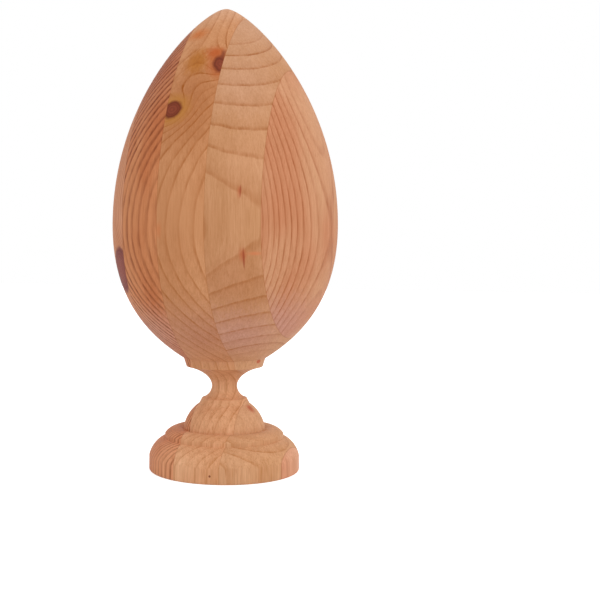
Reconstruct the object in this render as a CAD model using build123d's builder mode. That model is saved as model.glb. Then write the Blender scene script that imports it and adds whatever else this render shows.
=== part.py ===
from build123d import *
import os
from math import acos, ceil, cos, degrees, hypot, radians, sin, tan

# Egg finial for the top of a stair newel post, in millimetres.
# Thick boards are glued face to face into a square block, and the block is turned about Z.
# The underside lies at z = 0, the boards are stacked along X, and no joint is left loose.

# Whole finial
finial_height = 273.05
base_diameter = 88.9
egg_diameter = 133.35

# Glued block
board_thickness = 27.5

# Base mouldings, from the underside up, each with its height and the radius at its top
foot_easing = 0.8
plate_height = 8.4
shoulder_height = 10.65
shoulder_bulge = 1.85
band_radius = 35.1
band_height = 2.05
ledge_height = 2.6
ledge_bulge = 1.95
ledge_radius = 24.3
bell_height = 15.0
bell_bulge = 1.9
bell_radius = 15.0
fillet_height = 3.3
fillet_radius = 13.3

# Neck between two coves, and the collar that the egg stands on
lower_cove_height = 7.0
lower_cove_hollow = 1.5
neck_radius = 7.5
upper_cove_height = 11.8
upper_cove_reach = 26.7
collar_radius = 22.7
collar_height = 4.95
collar_top_radius = 24.3

# Egg, with its widest level nearer the collar than the tip
egg_lower_height = 78.75
collar_slope = 32.0
collar_pull = 0.336
lower_belly_pull = 0.5
upper_belly_pull = 0.61
tip_pull = 0.184

# Pilot hole for half of a dowel screw, left by a drill with a pointed end
pilot_diameter = 6.35
pilot_depth = 38.1
drill_point_angle = 118.0

# Levels of the mouldings
band_base = plate_height + shoulder_height
ledge_base = band_base + band_height
bell_base = ledge_base + ledge_height
fillet_base = bell_base + bell_height
lower_cove_base = fillet_base + fillet_height
neck_level = lower_cove_base + lower_cove_height
collar_base = neck_level + upper_cove_height
egg_base = collar_base + collar_height
belly_level = egg_base + egg_lower_height

# The upper cove is part of an ellipse that starts upright at the neck
cove_sweep = acos(1 - (collar_radius - neck_radius) / upper_cove_reach)
cove_rise = upper_cove_height / sin(cove_sweep)

# Control points of the egg's two curves, which meet upright at the belly
base_radius = base_diameter / 2
egg_radius = egg_diameter / 2
collar_run = collar_pull * hypot(egg_radius - collar_top_radius, egg_lower_height)
collar_control = (
    collar_top_radius + collar_run * cos(radians(collar_slope)),
    egg_base + collar_run * sin(radians(collar_slope)),
)
lower_belly_control = (egg_radius, belly_level - lower_belly_pull * egg_lower_height)
upper_belly_control = (egg_radius, belly_level + upper_belly_pull * (finial_height - belly_level))
tip_control = (tip_pull * egg_radius, finial_height)

# The block is square, as wide as its stack, with waste at both ends for the lathe's centres
board_count = 2 * ceil((egg_diameter / board_thickness - 1) / 2) + 1
block_width = board_count * board_thickness
block_length = finial_height + board_thickness

pilot_radius = pilot_diameter / 2
drill_point_height = pilot_radius / tan(radians(drill_point_angle / 2))


def board_name(place):
    """Name a board by its place in the stack, counted from the middle one."""
    if place == 0:
        return "centre_board"
    side = "left" if place < 0 else "right"
    return f"{side}_board_{abs(place)}"


# The turned shape, whole, with its pilot hole
with BuildPart() as turning:
    with BuildSketch(Plane.YZ):
        with BuildLine():
            foot = Line((0, 0), (base_radius, 0))
            plate = Line(foot @ 1, (base_radius, plate_height))
            shoulder = SagittaArc(plate @ 1, (band_radius, band_base), -shoulder_bulge)
            band = Line(shoulder @ 1, (band_radius, ledge_base))
            ledge = SagittaArc(band @ 1, (ledge_radius, bell_base), -ledge_bulge)
            bell = SagittaArc(ledge @ 1, (bell_radius, fillet_base), -bell_bulge)
            fillet_side = Line(bell @ 1, (fillet_radius, lower_cove_base))
            SagittaArc(fillet_side @ 1, (neck_radius, neck_level), lower_cove_hollow)
            upper_cove = EllipticalCenterArc(
                (neck_radius + upper_cove_reach, neck_level),
                upper_cove_reach,
                cove_rise,
                start_angle=180,
                arc_size=-degrees(cove_sweep),
            )
            collar = Line(upper_cove @ 1, (collar_top_radius, egg_base))
            egg_lower = Bezier(
                collar @ 1, collar_control, lower_belly_control, (egg_radius, belly_level)
            )
            egg_upper = Bezier(
                egg_lower @ 1, upper_belly_control, tip_control, (0, finial_height)
            )
            Line(egg_upper @ 1, foot @ 0)
        make_face()
    revolve(axis=Axis.Z)
    fillet(turning.faces().sort_by(Axis.Z)[0].edges(), foot_easing)
    with BuildSketch(Plane.YZ):
        with BuildLine():
            Polyline(
                (0, 0),
                (pilot_radius, 0),
                (pilot_radius, pilot_depth),
                (0, pilot_depth + drill_point_height),
                close=True,
            )
        make_face()
    revolve(axis=Axis.Z, mode=Mode.SUBTRACT)

# Each board is what the lathe leaves of its slice of the block
os.makedirs("parts", exist_ok=True)
middle = board_count // 2
for place in range(-middle, middle + 1):
    with BuildPart() as board:
        with Locations((place * board_thickness, 0, finial_height / 2)):
            Box(board_thickness, block_width, block_length)
        add(turning.part, mode=Mode.INTERSECT)
    board.part.label = board_name(place)
    export_step(board.part, f"parts/{board.part.label}.step")
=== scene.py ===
import bpy
from math import acos, cos, hypot, pi, radians, sin, sqrt, tan
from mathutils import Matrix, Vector


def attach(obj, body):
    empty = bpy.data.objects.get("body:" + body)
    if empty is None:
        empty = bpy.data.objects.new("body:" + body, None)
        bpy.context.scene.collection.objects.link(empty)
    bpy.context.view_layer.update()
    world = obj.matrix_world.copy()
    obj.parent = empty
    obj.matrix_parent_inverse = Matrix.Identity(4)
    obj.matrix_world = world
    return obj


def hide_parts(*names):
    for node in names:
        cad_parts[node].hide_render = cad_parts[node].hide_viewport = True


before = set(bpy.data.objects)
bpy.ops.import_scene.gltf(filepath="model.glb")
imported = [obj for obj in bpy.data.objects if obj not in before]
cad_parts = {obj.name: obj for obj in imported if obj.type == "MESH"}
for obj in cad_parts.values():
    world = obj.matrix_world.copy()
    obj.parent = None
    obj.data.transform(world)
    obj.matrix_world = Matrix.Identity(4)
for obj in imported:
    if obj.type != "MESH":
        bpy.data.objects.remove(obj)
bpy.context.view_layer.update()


# Centre board
# The middle one of five thick softwood boards, glued face to face into a block before turning.
# It holds the tip, the neck and the middle of the base, and two knots show on its front.
# The turned outline that all the boards share is here, as (radius, height) from the pilot hole up.

mm = 0.001
finial_height = 273.05 * mm
base_radius = 44.45 * mm
egg_radius = 66.675 * mm
pilot_radius = 3.175 * mm
pilot_depth = 38.1 * mm
drill_point_angle = radians(118.0)
foot_easing = 0.8 * mm
plate_top = 8.4 * mm
shoulder_top = 19.05 * mm
shoulder_bulge = 1.85 * mm
band_radius = 35.1 * mm
band_top = 21.1 * mm
ledge_radius = 24.3 * mm
ledge_top = 23.7 * mm
ledge_bulge = 1.95 * mm
bell_radius = 15.0 * mm
bell_top = 38.7 * mm
bell_bulge = 1.9 * mm
fillet_radius = 13.3 * mm
fillet_top = 42.0 * mm
neck_radius = 7.5 * mm
neck_level = 49.0 * mm
lower_cove_hollow = 1.5 * mm
upper_cove_reach = 26.7 * mm
collar_radius = 22.7 * mm
collar_base = 60.8 * mm
collar_top_radius = 24.3 * mm
egg_base = 65.75 * mm
belly_level = 144.5 * mm
collar_slope = radians(32.0)
collar_pull = 0.336
lower_belly_pull = 0.5
upper_belly_pull = 0.61
tip_pull = 0.184
board_thickness = 27.5 * mm
block_width = 6 * board_thickness
block_tallness = 4
steps_around = 288
merge_distance = 0.001 * mm
sharp_edge = radians(30)


def straight(start, end, steps):
    """Points of a straight stretch after its start."""
    return [
        tuple(a + (b - a) * step / steps for a, b in zip(start, end))
        for step in range(1, steps + 1)
    ]


def arc(start, end, bulge, steps):
    """Points of a round arc after its start, standing out to its right by its bulge."""
    start, end = Vector(start), Vector(end)
    half = (end - start).length / 2
    radius = (half * half + bulge * bulge) / (2 * abs(bulge))
    right = Vector((end.y - start.y, start.x - end.x)).normalized() * (1 if bulge > 0 else -1)
    centre = (start + end) / 2 + right * (abs(bulge) - radius)
    first = start - centre
    sweep = (end - centre).angle_signed(first)
    points = []
    for step in range(1, steps + 1):
        angle = sweep * step / steps
        x = centre.x + first.x * cos(angle) - first.y * sin(angle)
        y = centre.y + first.x * sin(angle) + first.y * cos(angle)
        points.append((x, y))
    return points


def cove(reach, rise, sweep, steps):
    """Points of the upper cove, part of an ellipse that starts upright at the neck."""
    points = []
    for step in range(1, steps + 1):
        angle = sweep * step / steps
        points.append((neck_radius + reach * (1 - cos(angle)), neck_level + rise * sin(angle)))
    return points


def curve(start, start_pull, end_pull, end, steps):
    """Points of a cubic Bezier curve after its start."""
    points = []
    for step in range(1, steps + 1):
        t = step / steps
        weights = ((1 - t) ** 3, 3 * t * (1 - t) ** 2, 3 * t * t * (1 - t), t**3)
        corners = (start, start_pull, end_pull, end)
        points.append(tuple(sum(w * c[k] for w, c in zip(weights, corners)) for k in (0, 1)))
    return points


drill_point = pilot_radius / tan(drill_point_angle / 2)
easing_bulge = foot_easing * (1 - sqrt(0.5))
cove_sweep = acos(1 - (collar_radius - neck_radius) / upper_cove_reach)
cove_rise = (collar_base - neck_level) / sin(cove_sweep)
collar_edge = (collar_top_radius, egg_base)
collar_run = collar_pull * hypot(egg_radius - collar_top_radius, belly_level - egg_base)
egg_start_pull = (
    collar_top_radius + collar_run * cos(collar_slope),
    egg_base + collar_run * sin(collar_slope),
)
belly = (egg_radius, belly_level)
below_belly = (egg_radius, belly_level - lower_belly_pull * (belly_level - egg_base))
above_belly = (egg_radius, belly_level + upper_belly_pull * (finial_height - belly_level))
beside_tip = (tip_pull * egg_radius, finial_height)

outline = [(0, pilot_depth + drill_point)]
outline += straight(outline[-1], (pilot_radius, pilot_depth), steps=2)
outline += straight(outline[-1], (pilot_radius, 0), steps=8)
outline += straight(outline[-1], (base_radius - foot_easing, 0), steps=11)
outline += arc(outline[-1], (base_radius, foot_easing), easing_bulge, steps=4)
outline += straight(outline[-1], (base_radius, plate_top), steps=5)
outline += arc(outline[-1], (band_radius, shoulder_top), shoulder_bulge, steps=14)
outline += straight(outline[-1], (band_radius, band_top), steps=2)
outline += arc(outline[-1], (ledge_radius, ledge_top), ledge_bulge, steps=12)
outline += arc(outline[-1], (bell_radius, bell_top), bell_bulge, steps=16)
outline += straight(outline[-1], (fillet_radius, fillet_top), steps=3)
outline += arc(outline[-1], (neck_radius, neck_level), -lower_cove_hollow, steps=14)
outline += cove(upper_cove_reach, cove_rise, cove_sweep, steps=20)
outline += straight(outline[-1], collar_edge, steps=4)
outline += curve(collar_edge, egg_start_pull, below_belly, belly, steps=56)
outline += curve(belly, above_belly, beside_tip, (0, finial_height), steps=84)

outline_mesh = bpy.data.meshes.new("outline")
outline_mesh.from_pydata([(r, 0, z) for r, z in outline], [], [])
outline_object = bpy.data.objects.new("outline", outline_mesh)
bpy.context.scene.collection.objects.link(outline_object)


def add(tree, kind, values=None, **settings):
    """A new node with its settings, and its inputs linked or set."""
    node = tree.nodes.new(kind)
    for name, value in settings.items():
        setattr(node, name, value)
    for key, value in (values or {}).items():
        if isinstance(value, bpy.types.NodeSocket):
            tree.links.new(value, node.inputs[key])
        else:
            node.inputs[key].default_value = value
    return node


def calc(tree, operation, *terms):
    """The result of a math node."""
    return add(tree, "ShaderNodeMath", dict(enumerate(terms)), operation=operation).outputs[0]


def vector(tree, operation, *terms):
    """The outputs of a vector math node."""
    return add(tree, "ShaderNodeVectorMath", dict(enumerate(terms)), operation=operation).outputs


lathe = bpy.data.node_groups.new("turned board", "GeometryNodeTree")
lathe_inputs = {
    name: lathe.interface.new_socket(name=name, in_out="INPUT", socket_type="NodeSocket" + kind)
    for name, kind in {
        "Outline": "Object",
        "Outline Points": "Int",
        "Steps Around": "Int",
        "Left Face": "Float",
        "Right Face": "Float",
        "Block Size": "Float",
        "Sharp Edge": "Float",
        "Wood": "Material",
    }.items()
}
lathe.interface.new_socket(name="Board", in_out="OUTPUT", socket_type="NodeSocketGeometry")
given = lathe.nodes.new("NodeGroupInput").outputs
profile = add(lathe, "GeometryNodeObjectInfo", {"Object": given["Outline"]}).outputs["Geometry"]
columns = calc(lathe, "ADD", given["Steps Around"], 1)
grid_size = {"Vertices X": given["Outline Points"], "Vertices Y": columns}
grid = add(lathe, "GeometryNodeMeshGrid", grid_size).outputs["Mesh"]
index = add(lathe, "GeometryNodeInputIndex").outputs[0]
row = calc(lathe, "FLOOR", calc(lathe, "DIVIDE", calc(lathe, "ADD", index, 0.5), columns))
column = calc(lathe, "SUBTRACT", index, calc(lathe, "MULTIPLY", row, columns))
turn = calc(lathe, "DIVIDE", calc(lathe, "MULTIPLY", column, 2 * pi), given["Steps Around"])
where = add(lathe, "GeometryNodeInputPosition").outputs[0]
sample = {"Geometry": profile, "Value": where, "Index": row}
point = add(lathe, "GeometryNodeSampleIndex", sample, data_type="FLOAT_VECTOR").outputs[0]
parts = add(lathe, "ShaderNodeSeparateXYZ", {0: point}).outputs
turned_point = {
    "X": calc(lathe, "MULTIPLY", parts["X"], calc(lathe, "COSINE", turn)),
    "Y": calc(lathe, "MULTIPLY", parts["X"], calc(lathe, "SINE", turn)),
    "Z": parts["Z"],
}
turned_place = add(lathe, "ShaderNodeCombineXYZ", turned_point).outputs[0]
turning = {"Geometry": grid, "Position": turned_place}
turned = add(lathe, "GeometryNodeSetPosition", turning).outputs[0]
merging = {"Geometry": turned, "Distance": merge_distance}
closed = add(lathe, "GeometryNodeMergeByDistance", merging).outputs[0]
middle = calc(lathe, "DIVIDE", calc(lathe, "ADD", given["Left Face"], given["Right Face"]), 2)
block_sides = {
    "X": calc(lathe, "SUBTRACT", given["Right Face"], given["Left Face"]),
    "Y": given["Block Size"],
    "Z": calc(lathe, "MULTIPLY", given["Block Size"], block_tallness),
}
block_size = add(lathe, "ShaderNodeCombineXYZ", block_sides).outputs[0]
block = add(lathe, "GeometryNodeMeshCube", {"Size": block_size}).outputs[0]
shift = add(lathe, "ShaderNodeCombineXYZ", {"X": middle}).outputs[0]
shifting = {"Geometry": block, "Translation": shift}
board_block = add(lathe, "GeometryNodeTransform", shifting).outputs[0]
cut = add(lathe, "GeometryNodeMeshBoolean", operation="INTERSECT", solver="EXACT")
lathe.links.new(closed, cut.inputs["Mesh 2"])
lathe.links.new(board_block, cut.inputs["Mesh 2"])
smooth = add(lathe, "GeometryNodeSetShadeSmooth", {0: cut.outputs[0]}, domain="FACE").outputs[0]
edge_angle = add(lathe, "GeometryNodeInputMeshEdgeAngle").outputs["Unsigned Angle"]
sharp = {0: edge_angle, 1: given["Sharp Edge"]}
is_sharp = add(lathe, "FunctionNodeCompare", sharp, operation="GREATER_THAN").outputs[0]
crease = {0: smooth, "Selection": is_sharp, "Shade Smooth": False}
creased = add(lathe, "GeometryNodeSetShadeSmooth", crease, domain="EDGE").outputs[0]
realized = add(lathe, "GeometryNodeRealizeInstances", {0: creased}).outputs[0]
painting = {"Geometry": realized, "Material": given["Wood"]}
painted = add(lathe, "GeometryNodeSetMaterial", painting).outputs[0]
lathe.links.new(painted, lathe.nodes.new("NodeGroupOutput").inputs["Board"])


def fit_board(node, place, wood):
    """One board, by its number from the centre, as a closed mesh in place of its plain solid."""
    left = (place - 0.5) * board_thickness
    seed_mesh = bpy.data.meshes.new(node + "_start")
    maker = bpy.data.objects.new(node + "_start", seed_mesh)
    bpy.context.scene.collection.objects.link(maker)
    modifier = maker.modifiers.new("lathe", "NODES")
    modifier.node_group = lathe
    values = {
        "Outline": outline_object,
        "Outline Points": len(outline),
        "Steps Around": steps_around,
        "Left Face": left,
        "Right Face": left + board_thickness,
        "Block Size": block_width,
        "Sharp Edge": sharp_edge,
        "Wood": wood,
    }
    for label, value in values.items():
        modifier[lathe_inputs[label].identifier] = value
    evaluated = maker.evaluated_get(bpy.context.evaluated_depsgraph_get())
    mesh = bpy.data.meshes.new_from_object(evaluated)
    board = bpy.data.objects.new("turned_" + node, mesh)
    bpy.context.scene.collection.objects.link(board)
    bpy.data.objects.remove(maker)
    bpy.data.meshes.remove(seed_mesh)
    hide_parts(node)
    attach(board, "root")


def ramp(tree, value, low, high):
    """A smooth step from 0 at low to 1 at high, or a falling one where low is the larger."""
    values = {0: value, 1: low, 2: high}
    return add(tree, "ShaderNodeMapRange", values, interpolation_type="SMOOTHSTEP").outputs[0]


def cloud(tree, position, grains, detail=2.0, seed=0.0):
    """A soft noise from 0 to 1, with so many grains to the millimetre along each axis."""
    stretched = vector(tree, "MULTIPLY", position, grains)[0]
    values = {"Vector": stretched, "W": seed, "Scale": 1.0, "Detail": detail}
    return add(tree, "ShaderNodeTexNoise", values, noise_dimensions="4D").outputs[0]


def blend(tree, share, under, over, kind="MIX"):
    """One colour laid over another."""
    values = {0: share, 6: under, 7: over}
    return add(tree, "ShaderNodeMix", values, data_type="RGBA", blend_type=kind).outputs[2]


def new_group(name, inputs, outputs):
    """A shader node group with its named sockets."""
    group = bpy.data.node_groups.new(name, "ShaderNodeTree")
    for way, sockets in (("INPUT", inputs), ("OUTPUT", outputs)):
        for label, kind in sockets.items():
            group.interface.new_socket(name=label, in_out=way, socket_type="NodeSocket" + kind)
    given = group.nodes.new("NodeGroupInput").outputs
    result = group.nodes.new("NodeGroupOutput").inputs
    return group, given, result


def use(tree, group, values):
    """The outputs of a shader node group placed with its own values."""
    return add(tree, "ShaderNodeGroup", values, node_tree=group).outputs


swell_size = 3.0
ripple_size = 1.3
tremble_size = 0.5
wave_middle = (swell_size + ripple_size + tremble_size) / 2

heart_group, given, result = new_group(
    "distance from the heart",
    {"Position": "Vector", "Heart": "Vector", "Lean": "Vector", "Waviness": "Float", "Seed": "Float"},
    {"Distance": "Float"},
)
from_heart = vector(heart_group, "SUBTRACT", given["Position"], given["Heart"])[0]
height = add(heart_group, "ShaderNodeSeparateXYZ", {0: from_heart}).outputs["Z"]
risen = add(heart_group, "ShaderNodeCombineXYZ", {"X": height, "Y": height, "Z": height}).outputs[0]
leaning = vector(heart_group, "MULTIPLY", given["Lean"], risen)[0]
from_leaning = vector(heart_group, "SUBTRACT", from_heart, leaning)[0]
radius = vector(heart_group, "LENGTH", from_leaning)["Value"]
swell = cloud(heart_group, given["Position"], (0.02, 0.02, 0.009), 1.0, given["Seed"])
ripple = cloud(heart_group, given["Position"], (0.16, 0.16, 0.05), 2.0, given["Seed"])
tremble = cloud(heart_group, given["Position"], (0.6, 0.6, 0.12), 1.0, given["Seed"])
wave = calc(heart_group, "MULTIPLY", ripple, ripple_size)
wave = calc(heart_group, "MULTIPLY_ADD", swell, swell_size, wave)
wave = calc(heart_group, "MULTIPLY_ADD", tremble, tremble_size, wave)
wave = calc(heart_group, "SUBTRACT", wave, wave_middle)
wavy_radius = calc(heart_group, "MULTIPLY_ADD", wave, given["Waviness"], radius)
heart_group.links.new(wavy_radius, result["Distance"])

rim_softness = 1.3
knot_ring_pace = 4.0
knot_ring_raggedness = 12.0
knot_ring_strength = 0.12

knot_group, given, result = new_group(
    "knot",
    {
        "Position": "Vector",
        "Distance": "Float",
        "Centre": "Vector",
        "Branch": "Vector",
        "Radius": "Float",
        "Tallness": "Float",
        "Bulge": "Float",
        "Reach": "Float",
    },
    {
        "Distance": "Float",
        "Core": "Float",
        "Halo": "Float",
        "Near": "Float",
        "Depth": "Float",
        "Grain": "Float",
    },
)
offset = vector(knot_group, "SUBTRACT", given["Position"], given["Centre"])[0]
branch = vector(knot_group, "NORMALIZE", given["Branch"])[0]
along = vector(knot_group, "DOT_PRODUCT", offset, branch)["Value"]
alongside = add(knot_group, "ShaderNodeCombineXYZ", {"X": along, "Y": along, "Z": along}).outputs[0]
down_branch = vector(knot_group, "MULTIPLY", branch, alongside)[0]
side = vector(knot_group, "SUBTRACT", offset, down_branch)[0]
squeeze = {"X": 1.0, "Y": 1.0, "Z": calc(knot_group, "DIVIDE", 1.0, given["Tallness"])}
squeezed = add(knot_group, "ShaderNodeCombineXYZ", squeeze).outputs[0]
radius = vector(knot_group, "LENGTH", vector(knot_group, "MULTIPLY", side, squeezed)[0])["Value"]
ragged = cloud(knot_group, given["Position"], (0.3, 0.3, 0.3), 2.0)
share = calc(knot_group, "MULTIPLY", radius, calc(knot_group, "MULTIPLY_ADD", ragged, 0.4, 0.8))
share = calc(knot_group, "DIVIDE", share, given["Radius"])
past_rim = calc(knot_group, "MULTIPLY", calc(knot_group, "SUBTRACT", share, 1.0), given["Radius"])
knot_group.links.new(ramp(knot_group, past_rim, rim_softness, -rim_softness), result["Core"])
knot_group.links.new(ramp(knot_group, share, 2.4, 0.95), result["Halo"])
knot_group.links.new(ramp(knot_group, share, 5.5, 2.0), result["Near"])
knot_group.links.new(share, result["Depth"])
around = calc(knot_group, "MULTIPLY", radius, knot_ring_pace)
around = calc(knot_group, "MULTIPLY_ADD", ragged, knot_ring_raggedness, around)
around = calc(knot_group, "SINE", around)
grain = calc(knot_group, "MULTIPLY_ADD", around, knot_ring_strength, 1.0)
knot_group.links.new(grain, result["Grain"])
outside = calc(knot_group, "MAXIMUM", calc(knot_group, "SUBTRACT", radius, given["Radius"]), 0.0)
fading = calc(knot_group, "DIVIDE", outside, calc(knot_group, "MULTIPLY", given["Reach"], -1.0))
pushed = calc(knot_group, "MULTIPLY", calc(knot_group, "EXPONENT", fading), given["Bulge"])
knot_group.links.new(calc(knot_group, "SUBTRACT", given["Distance"], pushed), result["Distance"])

fall_part = 0.3
late_start = 0.2
dash_strength = 2.4
dash_loss = 0.2
strongest_line = 1.05

ring_group, given, result = new_group(
    "growth rings",
    {
        "Position": "Vector",
        "Distance": "Float",
        "First Ring": "Float",
        "Ring Width": "Float",
        "Slows Beyond": "Float",
        "Slowing": "Float",
        "Line Share": "Float",
        "Pale Within": "Float",
        "Dark Beyond": "Float",
        "Unevenness": "Float",
        "Variation": "Float",
        "Seed": "Float",
    },
    {"Line": "Float", "Shade": "Float", "Tone": "Float"},
)
number = calc(ring_group, "DIVIDE", given["Distance"], given["Ring Width"])
number = calc(ring_group, "ADD", number, given["First Ring"])
beyond = calc(ring_group, "SUBTRACT", given["Distance"], given["Slows Beyond"])
beyond = calc(ring_group, "POWER", calc(ring_group, "MAXIMUM", beyond, 0.0), 2.0)
number = calc(ring_group, "MULTIPLY_ADD", beyond, given["Slowing"], number)
year = {"W": number, "Scale": 0.8, "Detail": 0.0}
season = add(ring_group, "ShaderNodeTexNoise", year, noise_dimensions="1D").outputs[0]
uneven = calc(ring_group, "MULTIPLY", calc(ring_group, "SUBTRACT", season, 0.5), given["Unevenness"])
number = calc(ring_group, "ADD", number, uneven)
fall = calc(ring_group, "MULTIPLY", given["Line Share"], fall_part)
number = calc(ring_group, "SUBTRACT", number, fall)
through = calc(ring_group, "FRACT", number)
year = {"W": calc(ring_group, "ADD", calc(ring_group, "FLOOR", number), given["Seed"])}
chance = add(ring_group, "ShaderNodeTexWhiteNoise", year, noise_dimensions="1D").outputs["Value"]
peak = calc(ring_group, "SUBTRACT", 1.0, fall)
rising = ramp(ring_group, through, calc(ring_group, "SUBTRACT", 1.0, given["Line Share"]), peak)
falling = ramp(ring_group, through, 1.0, peak)
line = calc(ring_group, "MULTIPLY", rising, falling)
broken = cloud(ring_group, given["Position"], (0.2, 0.2, 0.08), 3.0, 3.0)
line = calc(ring_group, "MULTIPLY", line, ramp(ring_group, broken, 0.15, 0.6))
dotted = cloud(ring_group, given["Position"], (0.5, 0.5, 0.06), 3.0, 5.0)
dashes = calc(ring_group, "MULTIPLY_ADD", dotted, dash_strength, -dash_loss)
line = calc(ring_group, "MULTIPLY", line, dashes)
weakening = calc(ring_group, "SUBTRACT", 1.0, chance)
weakening = calc(ring_group, "MULTIPLY", weakening, given["Variation"])
line = calc(ring_group, "MULTIPLY", line, calc(ring_group, "SUBTRACT", strongest_line, weakening))
mature = ramp(ring_group, given["Distance"], given["Pale Within"], given["Dark Beyond"])
ring_group.links.new(calc(ring_group, "MULTIPLY", line, mature), result["Line"])
late = calc(ring_group, "MULTIPLY", ramp(ring_group, through, late_start, peak), falling)
ring_group.links.new(calc(ring_group, "MULTIPLY", late, mature), result["Shade"])
ring_group.links.new(calc(ring_group, "MULTIPLY", chance, mature), result["Tone"])

fibre_group, given, result = new_group(
    "fibre",
    {"Position": "Vector", "Seed": "Float"},
    {"Streak": "Float", "Patch": "Float", "Fleck": "Float", "Height": "Float"},
)
band = cloud(fibre_group, given["Position"], (0.32, 0.32, 0.012), 2.0, given["Seed"])
streak = cloud(fibre_group, given["Position"], (1.1, 1.1, 0.04), 3.0, given["Seed"])
hair = cloud(fibre_group, given["Position"], (3.8, 3.8, 0.14), 2.0, given["Seed"])
streaks = calc(fibre_group, "MULTIPLY_ADD", band, 0.5, calc(fibre_group, "MULTIPLY", streak, 0.9))
streaks = calc(fibre_group, "MULTIPLY_ADD", hair, 0.6, streaks)
fibre_group.links.new(ramp(fibre_group, streaks, 0.6, 1.4), result["Streak"])
patch = cloud(fibre_group, given["Position"], (0.04, 0.04, 0.016), 2.0, given["Seed"])
fibre_group.links.new(ramp(fibre_group, patch, 0.3, 0.7), result["Patch"])
fleck = cloud(fibre_group, given["Position"], (1.7, 1.7, 0.1), 1.0, given["Seed"])
fibre_group.links.new(ramp(fibre_group, fleck, 0.58, 0.72), result["Fleck"])
fibre_group.links.new(hair, result["Height"])

mark_group, given, result = new_group(
    "mark",
    {"Position": "Vector", "Centre": "Vector", "Half Size": "Vector", "Softness": "Float"},
    {"Mask": "Float"},
)
offset = vector(mark_group, "SUBTRACT", given["Position"], given["Centre"])[0]
scaled = vector(mark_group, "DIVIDE", offset, given["Half Size"])[0]
share = vector(mark_group, "LENGTH", scaled)["Value"]
ragged = cloud(mark_group, given["Position"], (0.6, 0.6, 0.15), 2.0)
share = calc(mark_group, "MULTIPLY", share, calc(mark_group, "MULTIPLY_ADD", ragged, 0.9, 0.55))
solid_share = calc(mark_group, "SUBTRACT", 1.0, given["Softness"])
mark_group.links.new(ramp(mark_group, share, 1.0, solid_share), result["Mask"])

glue_reach = 0.3
glue_core = 0.05

glue_group, given, result = new_group(
    "glue line",
    {"Position": "Vector", "Left Face": "Float", "Right Face": "Float"},
    {"Line": "Float"},
)
sideways = add(glue_group, "ShaderNodeSeparateXYZ", {0: given["Position"]}).outputs["X"]
to_left = calc(glue_group, "ABSOLUTE", calc(glue_group, "SUBTRACT", sideways, given["Left Face"]))
to_right = calc(glue_group, "ABSOLUTE", calc(glue_group, "SUBTRACT", sideways, given["Right Face"]))
to_glue = calc(glue_group, "MINIMUM", to_left, to_right)
glue_group.links.new(ramp(glue_group, to_glue, glue_reach, glue_core), result["Line"])


def shade(red, green, blue):
    """A colour as it looks, each part from 0 to 255, in the shader's linear scale."""
    return tuple(((part / 255 + 0.055) / 1.055) ** 2.4 for part in (red, green, blue)) + (1,)


def lay_patches(tree, position, colour, patches):
    """Patches of other colours laid one after another over a colour."""
    for patch in patches:
        sockets = {key: value for key, value in patch.items() if key[0].isupper()}
        mask = use(tree, mark_group, {"Position": position, **sockets})["Mask"]
        colour = blend(tree, calc(tree, "MULTIPLY", mask, patch["share"]), colour, patch["colour"])
    return colour


# Painted light: below paler_below each board grows paler and bluer towards the foot, for the stronger
# light on the base. The same ramp softens rings and adds streaks and flecks there.
paler_below = 130.0
painted_foot_light = (1.22, 1.4, 1.66, 1)
foot_softening = 0.35
tone_share = 0.35
late_share = 0.14
streak_middle = 0.55
streak_strength = 0.26
foot_streaks = 0.1
streak_warmth = (0.8, 1.1, 1.6)
fleck_share = 0.16
foot_flecks = 0.3
glue_share = 0.3
bare_roughness = 0.62
line_polish = 0.1
sheen = 0.12
line_relief = 0.5
relief_depth = 0.05 * mm


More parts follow.
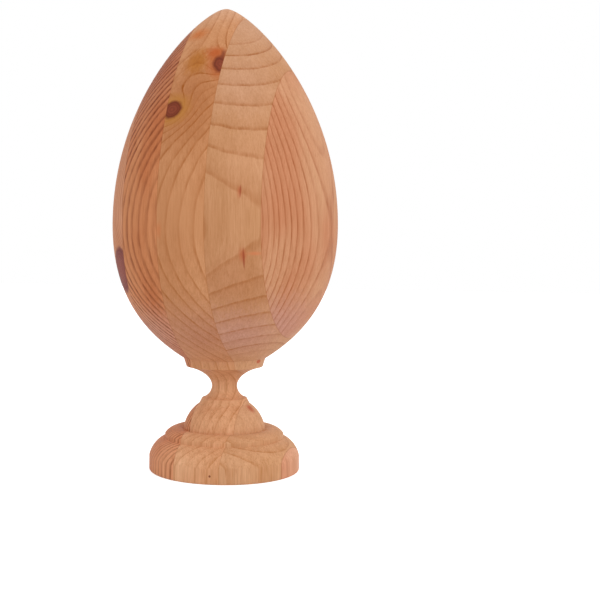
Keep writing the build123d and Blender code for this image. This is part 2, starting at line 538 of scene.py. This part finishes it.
def pine(
    name, place, colours, heart, lean, rings, contrast, waviness, seed, stains_and_painted_shade=(), knots=(), marks=()
):
    """Bare sanded softwood, its rings drawn round this board's own heart line, in millimetres."""
    early, tint, late = colours
    wood = bpy.data.materials.new(name)
    wood.use_nodes = True
    tree = wood.node_tree
    shader = tree.nodes["Principled BSDF"]
    surface = add(tree, "ShaderNodeTexCoord").outputs["Object"]
    in_millimetres = {"Vector": surface, "Scale": (1 / mm, 1 / mm, 1 / mm)}
    position = add(tree, "ShaderNodeMapping", in_millimetres).outputs[0]
    log = {"Position": position, "Heart": heart, "Lean": lean, "Waviness": waviness, "Seed": seed}
    distance = use(tree, heart_group, log)["Distance"]
    found = []
    for knot in knots:
        sockets = {key: value for key, value in knot.items() if key[0].isupper()}
        outputs = use(tree, knot_group, {"Position": position, "Distance": distance, **sockets})
        distance = outputs["Distance"]
        found.append((knot, outputs))
    growth = {"Position": position, "Distance": distance, "Seed": seed, **rings}
    ring = use(tree, ring_group, growth)
    fibre = use(tree, fibre_group, {"Position": position, "Seed": seed})
    level = add(tree, "ShaderNodeSeparateXYZ", {0: position}).outputs["Z"]
    foot = ramp(tree, level, paler_below, plate_top / mm)
    colour = blend(tree, fibre["Patch"], early, tint)
    colour = blend(tree, calc(tree, "MULTIPLY", ring["Tone"], tone_share), colour, tint)
    # Stains, and painted shade: pinker, greyer patches on the lower egg, where it faces the floor.
    colour = lay_patches(tree, position, colour, stains_and_painted_shade)
    colour = blend(tree, calc(tree, "MULTIPLY", ring["Shade"], late_share), colour, late)
    strength = calc(tree, "MULTIPLY_ADD", foot, -foot_softening * contrast, contrast)
    for knot, outputs in found:
        strength = calc(tree, "MAXIMUM", strength, outputs["Near"])
    colour = blend(tree, calc(tree, "MULTIPLY", ring["Line"], strength), colour, late)
    streak = calc(tree, "SUBTRACT", fibre["Streak"], streak_middle)
    streaking = calc(tree, "MULTIPLY_ADD", foot, foot_streaks, streak_strength)
    lightness = calc(tree, "MULTIPLY_ADD", streak, streaking, 1.0)
    powers = zip("XYZ", streak_warmth)
    fade = {axis: calc(tree, "POWER", lightness, power) for axis, power in powers}
    faded = add(tree, "ShaderNodeCombineXYZ", fade).outputs[0]
    colour = blend(tree, 1.0, colour, faded, "MULTIPLY")
    flecking = calc(tree, "MULTIPLY_ADD", foot, foot_flecks, fleck_share)
    fleck = calc(tree, "MULTIPLY", fibre["Fleck"], flecking)
    colour = blend(tree, fleck, colour, late)
    # Painted light: the wood made paler and bluer towards the foot, as if the base were lit more
    # strongly.
    painted_foot_tint = blend(tree, foot, (1, 1, 1, 1), painted_foot_light)
    colour = blend(tree, 1.0, colour, painted_foot_tint, "MULTIPLY")
    for knot, outputs in found:
        halo = calc(tree, "MULTIPLY", outputs["Halo"], knot["halo_share"])
        colour = blend(tree, halo, colour, knot["halo"])
        outwards = ramp(tree, outputs["Depth"], 0.25, 0.95)
        heartwood = blend(tree, outwards, knot["middle"], knot["rim"])
        grain = {axis: outputs["Grain"] for axis in "XYZ"}
        grained = add(tree, "ShaderNodeCombineXYZ", grain).outputs[0]
        heartwood = blend(tree, 1.0, heartwood, grained, "MULTIPLY")
        colour = blend(tree, outputs["Core"], colour, heartwood)
    colour = lay_patches(tree, position, colour, marks)
    left = (place - 0.5) * board_thickness / mm
    faces = {"Position": position, "Left Face": left, "Right Face": left + board_thickness / mm}
    glue = use(tree, glue_group, faces)["Line"]
    colour = blend(tree, calc(tree, "MULTIPLY", glue, glue_share), colour, late)
    tree.links.new(colour, shader.inputs["Base Color"])
    roughness = calc(tree, "MULTIPLY_ADD", ring["Line"], -line_polish, bare_roughness)
    tree.links.new(roughness, shader.inputs["Roughness"])
    shader.inputs["Specular IOR Level"].default_value = sheen
    height = calc(tree, "MULTIPLY_ADD", ring["Line"], line_relief, fibre["Height"])
    bump = add(tree, "ShaderNodeBump", {"Height": height, "Distance": relief_depth})
    tree.links.new(bump.outputs[0], shader.inputs["Normal"])
    return wood


knot_middle = shade(132, 62, 40)
knot_rim = shade(114, 48, 26)
centre_wood = pine(
    "centre board pine",
    0,
    colours=(shade(208, 149, 105), shade(195, 133, 89), shade(156, 84, 20)),
    heart=(-27.5, -9.8, 140.0),
    lean=(0.0008, -0.0349, 1.0),
    rings={
        "First Ring": -5.116,
        "Ring Width": 6.208,
        "Slows Beyond": 0.0,
        "Slowing": 0.001,
        "Line Share": 0.3,
        "Pale Within": 4.0,
        "Dark Beyond": 30.0,
        "Unevenness": 0.25,
        "Variation": 0.7,
    },
    contrast=0.52,
    waviness=0.6,
    seed=1.0,
    stains_and_painted_shade=[
        # Painted shade: the lower egg made darker and pinker, where it faces the floor.
        {
            "Centre": (0.0, -38.0, 84.0),
            "Half Size": (60.0, 60.0, 28.0),
            "Softness": 1.0,
            "colour": shade(158, 98, 88),
            "share": 0.4,
        },
        {
            "Centre": (0.0, 0.0, 270.0),
            "Half Size": (36.0, 36.0, 26.0),
            "Softness": 1.0,
            "colour": shade(214, 164, 130),
            "share": 0.8,
        },
        {
            "Centre": (0.0, -50.0, 207.0),
            "Half Size": (32.0, 34.0, 50.0),
            "Softness": 0.95,
            "colour": shade(168, 99, 52),
            "share": 0.65,
        },
        {
            "Centre": (-1.5, -41.0, 235.0),
            "Half Size": (11.0, 16.0, 14.0),
            "Softness": 0.8,
            "colour": shade(176, 106, 36),
            "share": 0.85,
        },
        {
            "Centre": (8.0, -36.0, 239.5),
            "Half Size": (8.5, 9.0, 7.0),
            "Softness": 0.9,
            "colour": shade(184, 88, 38),
            "share": 0.9,
        },
        {
            "Centre": (-7.0, -25.0, 253.0),
            "Half Size": (10.0, 9.0, 7.0),
            "Softness": 0.95,
            "colour": shade(196, 106, 44),
            "share": 0.8,
        },
    ],
    knots=[
        {
            "Centre": (-10.0, -54.0, 206.2),
            "Branch": (0.35, -0.86, 0.37),
            "Radius": 5.4,
            "Tallness": 1.0,
            "Bulge": 14.0,
            "Reach": 7.0,
            "middle": knot_middle,
            "rim": knot_rim,
            "halo": shade(184, 122, 52),
            "halo_share": 0.75,
        },
        {
            "Centre": (12.6, -40.0, 232.2),
            "Branch": (0.42, -0.75, 0.5),
            "Radius": 4.0,
            "Tallness": 2.0,
            "Bulge": 17.0,
            "Reach": 9.0,
            "middle": knot_middle,
            "rim": knot_rim,
            "halo": shade(178, 88, 40),
            "halo_share": 0.7,
        },
    ],
    marks=[
        {
            "Centre": (12.6, -36.5, 239.0),
            "Half Size": (2.0, 6.0, 5.5),
            "Softness": 0.8,
            "colour": shade(120, 56, 34),
            "share": 0.75,
        },
        {
            "Centre": (-12.5, -65.0, 140.0),
            "Half Size": (2.6, 6.0, 6.5),
            "Softness": 0.9,
            "colour": shade(204, 104, 56),
            "share": 0.5,
        },
        {
            "Centre": (0.0, -64.0, 146.0),
            "Half Size": (32.0, 24.0, 30.0),
            "Softness": 1.0,
            "colour": shade(199, 139, 95),
            "share": 0.5,
        },
        {
            "Centre": (8.8, -43.6, 4.8),
            "Half Size": (0.8, 1.5, 0.9),
            "Softness": 0.4,
            "colour": shade(120, 60, 40),
            "share": 0.9,
        },
    ],
)
fit_board("centre_board", 0, centre_wood)


# Left inner board
# The board left of the centre is redder, with close dark rings that stand upright on the egg.
# It is glued to the centre board's left face, and shows again at the left of the base.

left_inner_wood = pine(
    "left inner board pine",
    -1,
    colours=(shade(206, 137, 92), shade(190, 111, 67), shade(120, 50, 4)),
    heart=(-29.5, 6.6, 140.0),
    lean=(0.0261, -0.0328, 1.0),
    rings={
        "First Ring": -21.246,
        "Ring Width": 2.496,
        "Slows Beyond": 0.0,
        "Slowing": 0.0,
        "Line Share": 0.62,
        "Pale Within": 91.0,
        "Dark Beyond": 35.0,
        "Unevenness": 0.3,
        "Variation": 0.2,
    },
    contrast=1.24,
    waviness=0.6,
    seed=2.0,
    stains_and_painted_shade=[
        # Painted light and shade: the lower egg made pinker and greyer, where it faces the floor.
        {
            "Centre": (-26.0, -42.0, 82.0),
            "Half Size": (44.0, 44.0, 24.0),
            "Softness": 1.0,
            "colour": shade(200, 150, 128),
            "share": 0.6,
        },
        {
            "Centre": (-32.0, -25.0, 236.0),
            "Half Size": (50.0, 50.0, 80.0),
            "Softness": 1.0,
            "colour": shade(160, 92, 72),
            "share": 0.55,
        },
    ],
    marks=[
        {
            "Centre": (-30.0, -25.0, 10.0),
            "Half Size": (40.0, 40.0, 24.0),
            "Softness": 1.0,
            "colour": shade(206, 142, 106),
            "share": 0.4,
        },
    ],
)
fit_board("left_board_1", -1, left_inner_wood)


# Right inner board
# The board right of the centre is a pale tan, cut so that wide rings lie nearly level on it.
# Two short streaks of resin, a small knot on the collar and a red spot on the bell mark it.

streak_red = shade(184, 96, 58)
streak_dark = shade(150, 66, 40)
right_inner_wood = pine(
    "right inner board pine",
    1,
    colours=(shade(204, 149, 109), shade(192, 137, 94), shade(154, 83, 22)),
    heart=(9.3, -8.1, 140.0),
    lean=(-0.0388, -0.0304, 1.0),
    rings={
        "First Ring": -2.9,
        "Ring Width": 5.336,
        "Slows Beyond": 43.14,
        "Slowing": 0.00564,
        "Line Share": 0.24,
        "Pale Within": 14.0,
        "Dark Beyond": 26.0,
        "Unevenness": 0.0,
        "Variation": 0.7,
    },
    contrast=0.6,
    waviness=0.4,
    seed=5.0,
    stains_and_painted_shade=[
        {
            "Centre": (28.0, -56.0, 108.0),
            "Half Size": (50.0, 50.0, 32.0),
            "Softness": 1.0,
            "colour": shade(172, 108, 66),
            "share": 0.5,
        },
        # Painted shade: the lower egg made darker and pinker, where it faces the floor.
        {
            "Centre": (28.0, -46.0, 80.0),
            "Half Size": (50.0, 50.0, 26.0),
            "Softness": 1.0,
            "colour": shade(188, 134, 124),
            "share": 0.55,
        },
        {
            "Centre": (26.0, -42.0, 224.0),
            "Half Size": (40.0, 40.0, 38.0),
            "Softness": 1.0,
            "colour": shade(202, 154, 124),
            "share": 0.5,
        },
        {
            "Centre": (28.0, -20.0, 22.0),
            "Half Size": (70.0, 70.0, 60.0),
            "Softness": 1.0,
            "colour": shade(184, 124, 78),
            "share": 0.6,
        },
        {
            "Centre": (14.0, -12.0, 262.0),
            "Half Size": (40.0, 40.0, 60.0),
            "Softness": 1.0,
            "colour": shade(196, 150, 120),
            "share": 0.6,
        },
    ],
    marks=[
        {
            "Centre": (31.2, -58.0, 160.5),
            "Half Size": (1.8, 6.0, 5.0),
            "Softness": 0.9,
            "colour": streak_red,
            "share": 0.55,
        },
        {
            "Centre": (31.6, -58.0, 161.0),
            "Half Size": (0.6, 6.0, 4.6),
            "Softness": 0.6,
            "colour": streak_dark,
            "share": 0.7,
        },
        {
            "Centre": (32.6, -56.0, 127.0),
            "Half Size": (2.6, 6.0, 5.5),
            "Softness": 0.9,
            "colour": streak_red,
            "share": 0.7,
        },
        {
            "Centre": (33.0, -56.0, 125.0),
            "Half Size": (0.7, 6.0, 7.5),
            "Softness": 0.6,
            "colour": streak_dark,
            "share": 0.75,
        },
        {
            "Centre": (38.0, -53.0, 127.5),
            "Half Size": (6.0, 6.0, 1.6),
            "Softness": 0.9,
            "colour": shade(214, 120, 78),
            "share": 0.5,
        },
        {
            "Centre": (23.4, -5.5, 64.9),
            "Half Size": (2.2, 3.0, 1.6),
            "Softness": 0.6,
            "colour": shade(186, 80, 50),
            "share": 0.8,
        },
        {
            "Centre": (17.6, -2.0, 37.5),
            "Half Size": (4.0, 4.5, 5.0),
            "Softness": 0.8,
            "colour": shade(180, 84, 52),
            "share": 0.8,
        },
    ],
)
fit_board("right_board_1", 1, right_inner_wood)


# Right outer board
# The outermost board at the right is pinkish, with upright rings that crowd outwards.
# All that the lathe left of it is a cap on the egg's side and a sliver on the base plate.

right_outer_wood = pine(
    "right outer board pine",
    2,
    colours=(shade(205, 150, 112), shade(196, 130, 93), shade(152, 76, 26)),
    heart=(48.5, -3.6, 140.0),
    lean=(0.0226, -0.0317, 1.0),
    rings={
        "First Ring": -2.234,
        "Ring Width": 18.517,
        "Slows Beyond": 0.0,
        "Slowing": 0.00414,
        "Line Share": 0.4,
        "Pale Within": 2.0,
        "Dark Beyond": 25.0,
        "Unevenness": 0.2,
        "Variation": 0.6,
    },
    contrast=0.61,
    waviness=0.6,
    seed=4.0,
    stains_and_painted_shade=[
        # Painted shade: the lower egg made a little darker and pinker, where it faces the floor.
        {
            "Centre": (44.0, -30.0, 86.0),
            "Half Size": (44.0, 44.0, 28.0),
            "Softness": 1.0,
            "colour": shade(194, 144, 130),
            "share": 0.6,
        },
    ],
)
fit_board("right_board_2", 2, right_outer_wood)


# Left outer board
# The outermost board at the left, a cap and a sliver like its twin at the right.
# A large dark knot lies against its glued face, low on the front of the egg.

left_outer_wood = pine(
    "left outer board pine",
    -2,
    colours=(shade(208, 146, 110), shade(198, 134, 98), shade(156, 84, 40)),
    heart=(-62.0, 30.0, 140.0),
    lean=(0.01, -0.02, 1.0),
    rings={
        "First Ring": 0.3,
        "Ring Width": 4.2,
        "Slows Beyond": 0.0,
        "Slowing": 0.001,
        "Line Share": 0.35,
        "Pale Within": 5.0,
        "Dark Beyond": 40.0,
        "Unevenness": 0.2,
        "Variation": 0.5,
    },
    contrast=1.1,
    waviness=0.6,
    seed=3.0,
    knots=[
        {
            "Centre": (-47.0, -45.0, 118.5),
            "Branch": (-0.3, -0.93, 0.2),
            "Radius": 11.0,
            "Tallness": 1.1,
            "Bulge": 12.0,
            "Reach": 8.0,
            "middle": shade(140, 74, 62),
            "rim": shade(122, 60, 52),
            "halo": shade(190, 120, 80),
            "halo_share": 0.4,
        },
    ],
)
fit_board("left_board_2", -2, left_outer_wood)
bpy.data.objects.remove(outline_object)
bpy.data.meshes.remove(outline_mesh)


# Camera
# It stands level but for a slight roll, a little under the egg's middle and to the right of the
# front, and its frame is set off the axis.

camera_distance = 571.5 * mm
camera_height = 126.0 * mm
camera_azimuth = radians(21.8)
camera_roll = radians(-0.27)
image_size = 600
sensor_width = 36.0
focal_pixels = 959.5
axis_column = 225.1
horizon_row = 256.2

camera_data = bpy.data.cameras.new("camera")
camera_data.sensor_width = sensor_width
camera_data.lens = focal_pixels * sensor_width / image_size
camera_data.shift_x = (image_size / 2 - axis_column) / image_size
camera_data.shift_y = (horizon_row - image_size / 2) / image_size
camera = bpy.data.objects.new("camera", camera_data)
camera.location = (
    camera_distance * sin(camera_azimuth),
    -camera_distance * cos(camera_azimuth),
    camera_height,
)
camera.rotation_euler = (radians(90), camera_roll, camera_azimuth)
bpy.context.scene.collection.objects.link(camera)
bpy.context.scene.camera = camera


# Floor
# A plain pale floor that the finial stands on. It glows to the camera and in mirrors, so that it
# meets the white surround, and from the front no shadow shows on it.

corner = 3.0
floor_grey = 0.85
floor_roughness = 0.9
floor_glow = 0.6
floor_corners = [
    (-corner, -corner, 0),
    (corner, -corner, 0),
    (corner, corner, 0),
    (-corner, corner, 0),
]
floor_mesh = bpy.data.meshes.new("floor")
floor_mesh.from_pydata(floor_corners, [], [(0, 1, 2, 3)])
floor = bpy.data.objects.new("floor", floor_mesh)
bpy.context.scene.collection.objects.link(floor)
pale = bpy.data.materials.new("pale floor")
pale.use_nodes = True
surface = pale.node_tree.nodes["Principled BSDF"]
surface.inputs["Base Color"].default_value = (floor_grey, floor_grey, floor_grey, 1)
surface.inputs["Roughness"].default_value = floor_roughness
surface.inputs["Emission Color"].default_value = (1, 1, 1, 1)
rays = pale.node_tree.nodes.new("ShaderNodeLightPath").outputs
seen = calc(pale.node_tree, "MAXIMUM", rays["Is Camera Ray"], rays["Is Glossy Ray"])
glow = calc(pale.node_tree, "MULTIPLY", seen, floor_glow)
pale.node_tree.links.new(glow, surface.inputs["Emission Strength"])
floor_mesh.materials.append(pale)


# Light
# An even white surround, a little dimmer on the wood than it looks to the camera, and one soft
# square lamp high at the right, which faces the egg.

lamp_place = Vector((1.1, -0.5, 0.9))
lamp_target = Vector((0, 0, 0.15))
lamp_size = 0.8
lamp_power = 4.5
surround_light = 0.9

lamp_data = bpy.data.lights.new("right lamp", "AREA")
lamp_data.size = lamp_size
lamp_data.energy = lamp_power
lamp = bpy.data.objects.new("right lamp", lamp_data)
lamp.location = lamp_place
lamp.rotation_euler = (lamp_target - lamp_place).to_track_quat("-Z", "Y").to_euler()
bpy.context.scene.collection.objects.link(lamp)

world = bpy.data.worlds.new("surround")
world.use_nodes = True
bpy.context.scene.world = world
sky = world.node_tree
background = sky.nodes["Background"]
background.inputs["Color"].default_value = (1, 1, 1, 1)
rays = sky.nodes.new("ShaderNodeLightPath").outputs
seen = calc(sky, "MAXIMUM", rays["Is Camera Ray"], rays["Is Glossy Ray"])
strength = calc(sky, "MULTIPLY_ADD", seen, 1 - surround_light, surround_light)
sky.links.new(strength, background.inputs["Strength"])

bpy.context.scene.view_settings.view_transform = "Standard"
